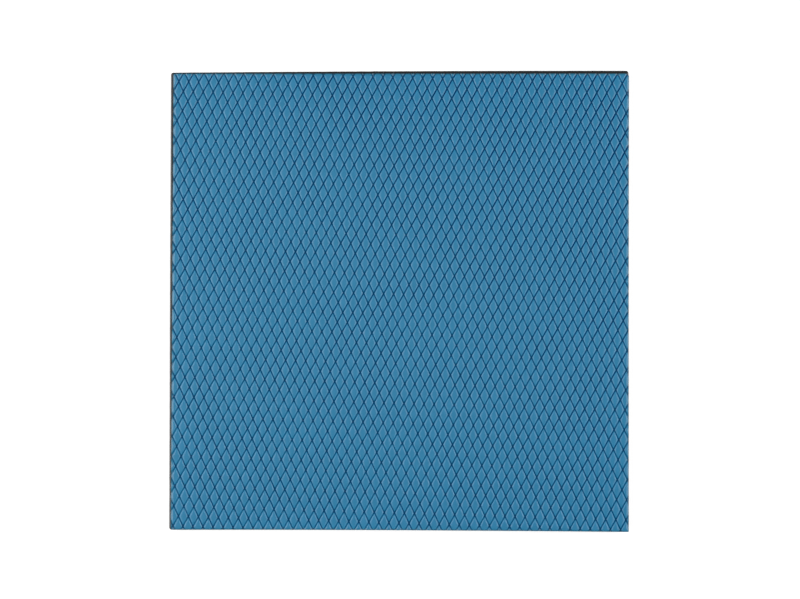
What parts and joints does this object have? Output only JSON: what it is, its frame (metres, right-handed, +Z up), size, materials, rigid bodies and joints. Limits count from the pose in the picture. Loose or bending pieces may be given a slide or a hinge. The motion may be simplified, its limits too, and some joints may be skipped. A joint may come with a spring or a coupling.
{
  "type": "thermal pad sheet",
  "caption": "Square gap-filler thermal pad sheet: a soft dark grey silicone pad that fills the gap between a chip and its heatsink, under a blue diamond-embossed release liner.",
  "frame": {"origin": "centre of the pad's underside, on the surface that the sheet lies on", "axes": "+Z up through the sheet's thickness, from the bare pad to the liner; +X to the right and +Y to the far edge, along the pad's sides"},
  "size_m": [0.1003, 0.1004, 0.0022],
  "materials": {
    "silicone": "dark grey ceramic-filled silicone, satin and slightly tacky, with faintly grainy cut edges",
    "liner_film": "mid blue polyethylene film, semi-gloss, embossed all over with small diamonds between darker grooves"
  },
  "bodies": {
    "root": {"pad_body": "silicone", "embossed_liner": "liner_film"}
  },
  "joints": []
}
